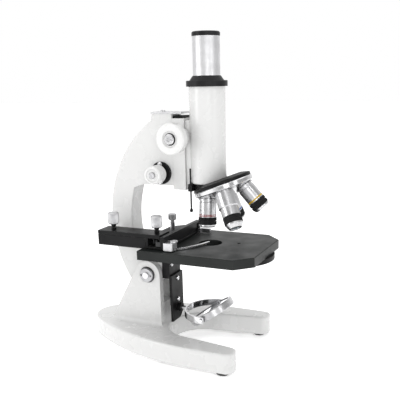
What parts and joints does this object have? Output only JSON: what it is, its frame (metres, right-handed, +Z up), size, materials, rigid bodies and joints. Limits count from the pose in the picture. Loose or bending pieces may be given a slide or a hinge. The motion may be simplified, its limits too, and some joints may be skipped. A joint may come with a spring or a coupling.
{
  "type": "microscope",
  "caption": "Student compound microscope with a horseshoe base, tilting arm, rack focus, turret of objectives, mirror and attachable mechanical stage.",
  "frame": {"origin": "middle of the footprint on the surface the feet stand on", "axes": "+Z up along the optical axis, -Y the stage side the user looks from the front at, +Y the arm side, -X the side with the mechanical stage controls"},
  "size_m": [0.129, 0.2186, 0.3399],
  "materials": {
    "white_enamel": "gloss",
    "black_enamel": "satin",
    "stage_black": "satin",
    "chrome": "polished",
    "satin_aluminium": "satin",
    "brushed_steel": "brushed",
    "brass": "machined",
    "white_plastic": "gloss",
    "black_plastic": "matte",
    "foot_rubber": "matte",
    "glass": "clear",
    "mirror": "silvered"
  },
  "bodies": {
    "base": {"base_casting": "white_enamel", "rubber_feet": "foot_rubber", "pivot_bolt": "chrome", "pivot_nuts": "chrome"},
    "arm": {"arm_casting": "white_enamel", "arm_cover_plate": "satin_aluminium", "arm_screws": "chrome", "fine_flanges": "black_enamel", "stage_bracket": "black_enamel", "stage_plate": "stage_black", "mirror_plate": "black_enamel", "diaphragm_pin": "chrome", "mech_rail": "black_enamel", "mech_rail_rack": "brass", "mech_base_plate": "black_enamel", "mech_thumb_screw": "satin_aluminium"},
    "fine_knob_pair": {"fine_shaft": "brushed_steel", "fine_knobs": "white_plastic"},
    "focus_slide": {"focus_block": "white_enamel", "block_top_plate": "black_enamel", "coarse_bushes": "white_enamel"},
    "coarse_knob_pair": {"coarse_shaft": "brushed_steel", "coarse_pinion": "brass", "coarse_knobs": "white_plastic", "coarse_nuts": "chrome"},
    "tube": {"tube_carriage": "white_enamel", "tube_rack": "brass", "body_tube": "white_enamel", "tube_collar": "black_plastic", "draw_tube": "satin_aluminium", "nosepiece_mount": "black_enamel", "nosepiece_pivot": "brushed_steel", "stop_rod": "black_enamel", "stop_rod_clip": "black_enamel"},
    "eyepiece": {"eyepiece_cap": "black_plastic", "eyepiece_barrel": "brass", "eyepiece_lenses": "glass"},
    "nosepiece": {"nosepiece_ring": "chrome", "objective_red": "satin_aluminium", "objective_yellow": "satin_aluminium", "objective_blue": "satin_aluminium", "objective_oil": "satin_aluminium", "objective_grips": "black_plastic", "objective_lenses": "glass"},
    "disc": {"diaphragm_disc": "black_enamel"},
    "yoke": {"mirror_yoke": "chrome"},
    "mirror": {"mirror_cell": "satin_aluminium", "mirror_plane_glass": "mirror", "mirror_hollow_glass": "mirror", "mirror_pins": "chrome"},
    "stage_slide": {"mech_slide": "black_enamel"},
    "y_knob": {"mech_y_knob": "satin_aluminium", "mech_y_pinion": "brass"},
    "slide_holder": {"mech_cross_bar": "black_enamel", "mech_bar_rack": "brass", "mech_finger_block": "satin_aluminium", "mech_corner": "satin_aluminium"},
    "x_knob": {"mech_x_knob": "satin_aluminium", "mech_x_pinion": "brass"},
    "finger": {"mech_finger": "satin_aluminium"}
  },
  "joints": [
    {"name": "inclination", "type": "hinge", "parent": "base", "child": "arm", "pos_m": [0, 0.02924, 0.084], "axis": [1, 0, 0], "range_deg": [-45, 0]},
    {"name": "fine_turn", "type": "hinge", "parent": "arm", "child": "fine_knob_pair", "pos_m": [0, 0.01004, 0.198], "axis": [1, 0, 0], "range_deg": [-721, 721]},
    {"name": "fine_travel", "type": "slide", "parent": "arm", "child": "focus_slide", "axis": [0, 0, 1], "range_m": [-0.001, 0.001]},
    {"name": "coarse_turn", "type": "hinge", "parent": "focus_slide", "child": "coarse_knob_pair", "pos_m": [0, -0.01476, 0.2362], "axis": [1, 0, 0], "range_deg": [-344, 35]},
    {"name": "coarse_travel", "type": "slide", "parent": "focus_slide", "child": "tube", "axis": [0, 0, 1], "range_m": [-0.003, 0.03]},
    {"name": "nosepiece_turn", "type": "hinge", "parent": "tube", "child": "nosepiece", "pos_m": [0, -0.05968, 0.17907], "axis": [0, 0.3502, 0.9367], "continuous": true},
    {"name": "eyepiece_lift", "type": "slide", "parent": "tube", "child": "eyepiece", "axis": [0, 0, 1], "range_m": [0, 0.045]},
    {"name": "disc_turn", "type": "hinge", "parent": "arm", "child": "disc", "pos_m": [0.008, -0.07076, 0.11], "axis": [0, 0, 1], "continuous": true},
    {"name": "yoke_turn", "type": "hinge", "parent": "arm", "child": "yoke", "pos_m": [0, 0.00324, 0.043], "axis": [0, 1, 0], "range_deg": [-90, 90]},
    {"name": "mirror_turn", "type": "hinge", "parent": "yoke", "child": "mirror", "pos_m": [0, -0.04076, 0.043], "axis": [1, 0, 0], "continuous": true},
    {"name": "y_turn", "type": "hinge", "parent": "stage_slide", "child": "y_knob", "pos_m": [-0.035, 0.05874, 0.15], "axis": [0, 0, 1], "range_deg": [-258, 0]},
    {"name": "y_travel", "type": "slide", "parent": "arm", "child": "stage_slide", "axis": [0, 1, 0], "range_m": [-0.018, 0]},
    {"name": "x_turn", "type": "hinge", "parent": "stage_slide", "child": "x_knob", "pos_m": [-0.035, 0.00524, 0.15], "axis": [0, 0, 1], "range_deg": [-359, 115]},
    {"name": "x_travel", "type": "slide", "parent": "stage_slide", "child": "slide_holder", "axis": [1, 0, 0], "range_m": [-0.025, 0.008]},
    {"name": "finger_swing", "type": "hinge", "parent": "slide_holder", "child": "finger", "pos_m": [-0.0415, -0.01776, 0.1238], "axis": [0, 0, 1], "range_deg": [-35, 0], "stiffness_Nm_per_rad": 0.02, "springref_deg": 14.32}
  ],
  "couplings": [
    {"joint": "fine_turn", "follows": "fine_travel", "rad_per_m": 12566},
    {"joint": "coarse_turn", "follows": "coarse_travel", "rad_per_m": -200},
    {"joint": "y_turn", "follows": "y_travel", "rad_per_m": 250},
    {"joint": "x_turn", "follows": "x_travel", "rad_per_m": 250}
  ]
}
